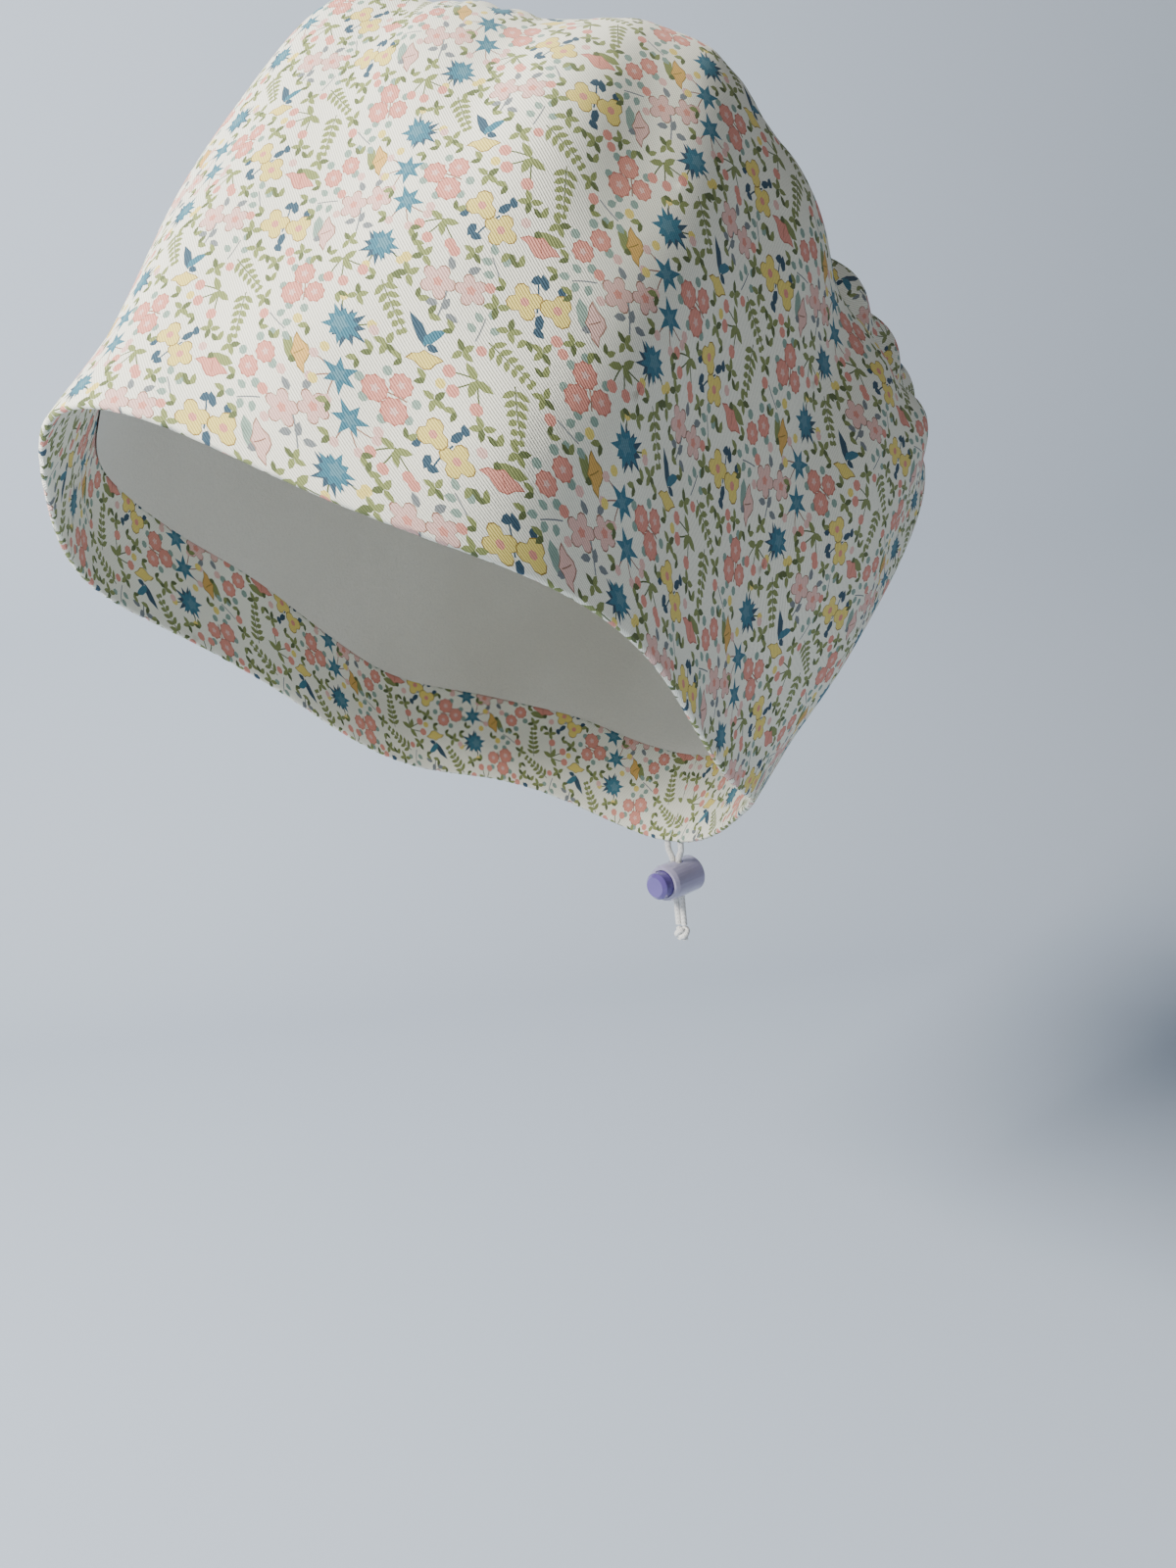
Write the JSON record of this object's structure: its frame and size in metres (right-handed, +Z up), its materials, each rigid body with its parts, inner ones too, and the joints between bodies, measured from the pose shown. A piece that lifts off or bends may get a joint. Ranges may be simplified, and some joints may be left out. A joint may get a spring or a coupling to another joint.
{
  "type": "scrub cap",
  "caption": "Soft cotton scrub cap with a deep side band, a gathered slanted crown, a faced hem, a plain lining and a drawcord with a push-button lock at the nape.",
  "frame": {"origin": "centre of the head opening at brow height, where the head comes in", "axes": "+Z up, the front of the cap towards -Y, the wearer's left towards +X"},
  "size_m": [0.1936, 0.269, 0.2884],
  "materials": {
    "printed_cotton": "woven cotton with a small dense floral print on cream",
    "plain_cotton": "soft brushed cotton, plain cream",
    "cord": "fine braided cord, white",
    "lilac_plastic": "glossy, slightly translucent",
    "violet_plastic": "glossy"
  },
  "bodies": {
    "cap": {"side_band": "printed_cotton", "crown": "printed_cotton", "hem_facing": "printed_cotton", "lining": "plain_cotton", "drawcord_left": "cord", "drawcord_right": "cord", "cord_knot": "cord", "cord_lock_body": "lilac_plastic"},
    "plunger": {"cord_lock_plunger": "violet_plastic"}
  },
  "joints": [
    {"name": "plunger_press", "type": "slide", "parent": "cap", "child": "plunger", "axis": [0, 1, 0], "range_m": [0, 0.003], "stiffness_N_per_m": 600, "springref_m": -0.004}
  ]
}
